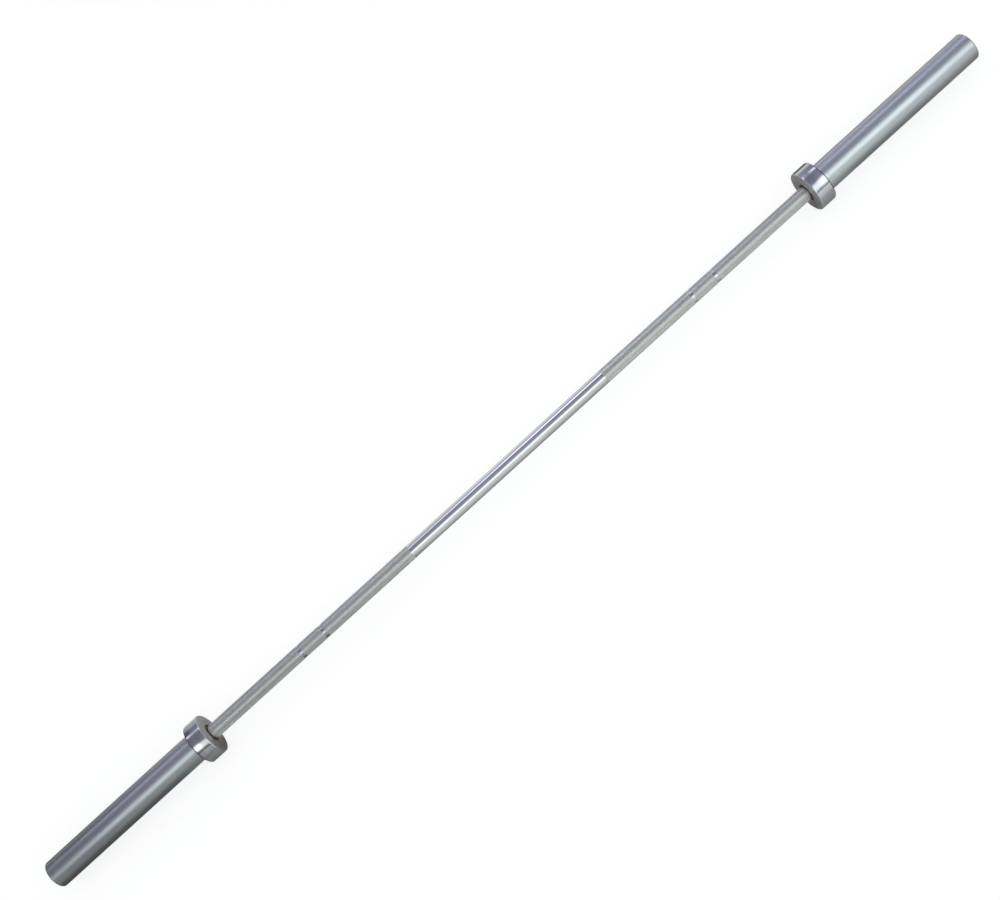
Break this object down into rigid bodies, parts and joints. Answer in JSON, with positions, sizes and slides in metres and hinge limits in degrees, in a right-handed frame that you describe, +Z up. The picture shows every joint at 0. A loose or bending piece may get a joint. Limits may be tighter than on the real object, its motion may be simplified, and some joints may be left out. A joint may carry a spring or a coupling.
{
  "type": "barbell",
  "caption": "Straight steel barbell: a slim knurled shaft with a spinning chromed sleeve and a plate-stop collar at each end.",
  "frame": {"origin": "middle of the shaft, on its axis", "axes": "+X along the shaft towards the right sleeve, +Z up, the collars stand on a floor at z = -0.0375"},
  "size_m": [2.01, 0.075, 0.075],
  "materials": {
    "shaft_steel": "satin",
    "sleeve_chrome": "satin",
    "collar_chrome": "polished",
    "cap_steel": "satin",
    "pin_steel": "satin",
    "washer_steel": "satin",
    "spring_steel": "satin",
    "bronze": "satin",
    "seal_rubber": "matte"
  },
  "bodies": {
    "shaft": {"shaft": "shaft_steel", "right_inner_thrust_washer": "bronze", "right_outer_thrust_washer": "washer_steel", "right_shaft_snap_ring": "spring_steel", "left_inner_thrust_washer": "bronze", "left_outer_thrust_washer": "washer_steel", "left_shaft_snap_ring": "spring_steel"},
    "right_sleeve": {"right_sleeve": "sleeve_chrome", "right_collar": "collar_chrome", "right_collar_pin": "pin_steel", "right_inner_bushing": "bronze", "right_outer_bushing": "bronze", "right_end_cap": "cap_steel", "right_cap_seal": "seal_rubber", "right_cap_snap_ring": "spring_steel"},
    "left_sleeve": {"left_sleeve": "sleeve_chrome", "left_collar": "collar_chrome", "left_collar_pin": "pin_steel", "left_inner_bushing": "bronze", "left_outer_bushing": "bronze", "left_end_cap": "cap_steel", "left_cap_seal": "seal_rubber", "left_cap_snap_ring": "spring_steel"}
  },
  "joints": [
    {"name": "right_sleeve_spin", "type": "hinge", "parent": "shaft", "child": "right_sleeve", "pos_m": [0.655, 0, 0], "axis": [1, 0, 0], "continuous": true},
    {"name": "left_sleeve_spin", "type": "hinge", "parent": "shaft", "child": "left_sleeve", "pos_m": [-0.655, 0, 0], "axis": [1, 0, 0], "continuous": true}
  ]
}
